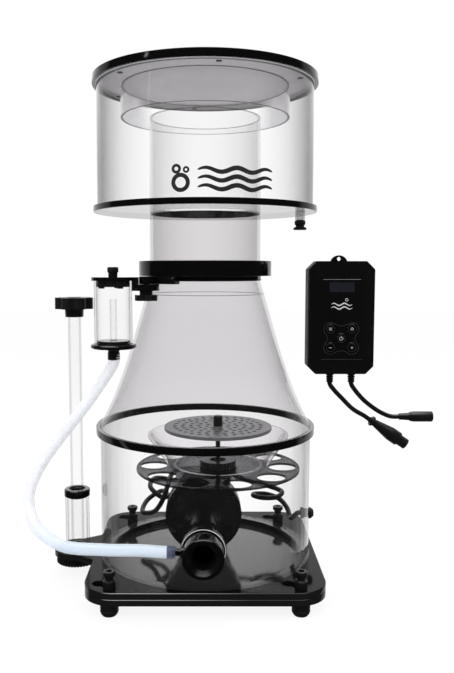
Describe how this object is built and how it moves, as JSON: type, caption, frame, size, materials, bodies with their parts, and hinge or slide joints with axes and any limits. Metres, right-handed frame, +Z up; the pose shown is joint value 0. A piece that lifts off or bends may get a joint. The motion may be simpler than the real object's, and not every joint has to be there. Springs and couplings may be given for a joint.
{
  "type": "protein skimmer",
  "caption": "Cone protein skimmer with an internal needle-wheel pump, lift-off collection cup, air silencer, wedge outlet valve and a hung controller.",
  "frame": {"origin": "on the vertical axis of the body, at floor level between the four rubber feet", "axes": "+Z up, -Y towards the pump's intake at the front, +X to the right of a viewer facing the intake, so the outlet riser is on the -X side"},
  "size_m": [0.4885, 0.2965, 0.607],
  "materials": {
    "black_acrylic": "polished",
    "clear_acrylic": "polished clear",
    "tinted_acrylic": "polished smoke grey",
    "smoke_lid": "polished grey",
    "black_plastic": "moulded satin",
    "pump_plastic": "moulded semi-gloss",
    "rubber": "soft matte",
    "grey_rubber": "soft matte",
    "silicone": "translucent satin",
    "cable_jacket": "satin",
    "impeller_plastic": "moulded satin",
    "magnet": "coated",
    "shaft": "ground",
    "controller_case": "fine moulded texture",
    "controller_panel": "glossy membrane",
    "controller_key": "satin membrane"
  },
  "bodies": {
    "skimmer": {"base_lower_plate": "black_acrylic", "base_upper_plate": "black_acrylic", "rubber_feet": "rubber", "base_seal": "rubber", "body_tube": "clear_acrylic", "waist_ring": "black_acrylic", "cone": "clear_acrylic", "cone_collar": "black_acrylic", "outlet_chamber": "clear_acrylic", "outlet_cap": "black_acrylic", "cable_grommet": "rubber", "motor_housing": "pump_plastic", "pump_volute": "pump_plastic", "pump_cover": "pump_plastic", "venturi_nozzle": "pump_plastic", "intake_gasket": "grey_rubber", "pump_cable": "cable_jacket", "diffuser_holder": "tinted_acrylic", "diffuser_funnel": "clear_acrylic", "bubble_plate": "tinted_acrylic", "diffuser_post": "black_plastic", "diffuser_nut": "black_plastic", "silencer_bracket": "black_acrylic", "silencer_top_cap": "black_acrylic", "silencer_tube": "clear_acrylic", "silencer_bottom_cap": "black_acrylic", "silencer_fittings": "black_plastic", "air_hose": "silicone"},
    "outlet_nut": {"outlet_nut": "black_plastic"},
    "bracket_screw": {"bracket_screw": "black_plastic"},
    "screw_front_left": {"base_screw_front_left": "black_plastic"},
    "screw_front_right": {"base_screw_front_right": "black_plastic"},
    "screw_rear_left": {"base_screw_rear_left": "black_plastic"},
    "screw_rear_right": {"base_screw_rear_right": "black_plastic"},
    "valve": {"valve_tube": "clear_acrylic", "valve_knob": "black_plastic", "valve_gate": "black_acrylic"},
    "rotor": {"impeller": "impeller_plastic", "rotor_magnet": "magnet", "rotor_shaft": "shaft"},
    "cup": {"cup_neck": "clear_acrylic", "cup_floor": "clear_acrylic", "cup_rim": "black_acrylic", "cup_tube": "clear_acrylic", "neck_o_ring": "rubber"},
    "lock_ring": {"lock_ring": "black_acrylic"},
    "drain_plug": {"drain_plug": "black_plastic"},
    "lid": {"lid_disc": "smoke_lid", "lid_rim": "black_acrylic", "lid_skirt": "clear_acrylic"},
    "controller": {"controller_back": "controller_case", "controller_front": "controller_panel", "controller_leads": "cable_jacket", "dc_socket": "cable_jacket", "lead_plug": "cable_jacket"},
    "key_power": {"key_power": "controller_key"},
    "key_upper_left": {"key_upper_left": "controller_key"},
    "key_upper_right": {"key_upper_right": "controller_key"},
    "key_lower_left": {"key_lower_left": "controller_key"},
    "key_lower_right": {"key_lower_right": "controller_key"}
  },
  "joints": [
    {"name": "cup_lift", "type": "slide", "parent": "skimmer", "child": "cup", "axis": [0, 0, 1], "range_m": [0, 0.12]},
    {"name": "lid_lift", "type": "slide", "parent": "cup", "child": "lid", "axis": [0, 0, 1], "range_m": [0, 0.08]},
    {"name": "lock_ring_turn", "type": "hinge", "parent": "cup", "child": "lock_ring", "pos_m": [0, 0, 0.382], "axis": [0, 0, 1], "range_deg": [0, 90]},
    {"name": "drain_plug_pull", "type": "slide", "parent": "cup", "child": "drain_plug", "axis": [0, 0, -1], "range_m": [0, 0.02]},
    {"name": "valve_turn", "type": "hinge", "parent": "skimmer", "child": "valve", "pos_m": [-0.1615, 0, 0.2], "axis": [0, 0, 1], "range_deg": [0, 180]},
    {"name": "outlet_nut_turn", "type": "hinge", "parent": "skimmer", "child": "outlet_nut", "pos_m": [-0.1615, 0, 0.015], "axis": [0, 0, 1], "continuous": true},
    {"name": "rotor_spin", "type": "hinge", "parent": "skimmer", "child": "rotor", "pos_m": [-0.002, 0, 0.076], "axis": [0, 1, 0], "continuous": true},
    {"name": "bracket_screw_turn", "type": "hinge", "parent": "skimmer", "child": "bracket_screw", "pos_m": [-0.068, -0.06, 0.35], "axis": [0, 0, 1], "continuous": true},
    {"name": "screw_front_left_turn", "type": "hinge", "parent": "skimmer", "child": "screw_front_left", "pos_m": [-0.106, -0.124, 0.03], "axis": [0, 0, 1], "continuous": true},
    {"name": "screw_front_right_turn", "type": "hinge", "parent": "skimmer", "child": "screw_front_right", "pos_m": [0.106, -0.124, 0.03], "axis": [0, 0, 1], "continuous": true},
    {"name": "screw_rear_left_turn", "type": "hinge", "parent": "skimmer", "child": "screw_rear_left", "pos_m": [-0.102, 0.1, 0.03], "axis": [0, 0, 1], "continuous": true},
    {"name": "screw_rear_right_turn", "type": "hinge", "parent": "skimmer", "child": "screw_rear_right", "pos_m": [0.102, 0.1, 0.03], "axis": [0, 0, 1], "continuous": true},
    {"name": "controller_lift", "type": "slide", "parent": "skimmer", "child": "controller", "axis": [0, 0, 1], "range_m": [0, 0.03]},
    {"name": "key_power_press", "type": "slide", "parent": "controller", "child": "key_power", "axis": [0, 1, 0], "range_m": [0, 0.0006]},
    {"name": "key_upper_left_press", "type": "slide", "parent": "controller", "child": "key_upper_left", "axis": [0, 1, 0], "range_m": [0, 0.0006]},
    {"name": "key_upper_right_press", "type": "slide", "parent": "controller", "child": "key_upper_right", "axis": [0, 1, 0], "range_m": [0, 0.0006]},
    {"name": "key_lower_left_press", "type": "slide", "parent": "controller", "child": "key_lower_left", "axis": [0, 1, 0], "range_m": [0, 0.0006]},
    {"name": "key_lower_right_press", "type": "slide", "parent": "controller", "child": "key_lower_right", "axis": [0, 1, 0], "range_m": [0, 0.0006]}
  ]
}
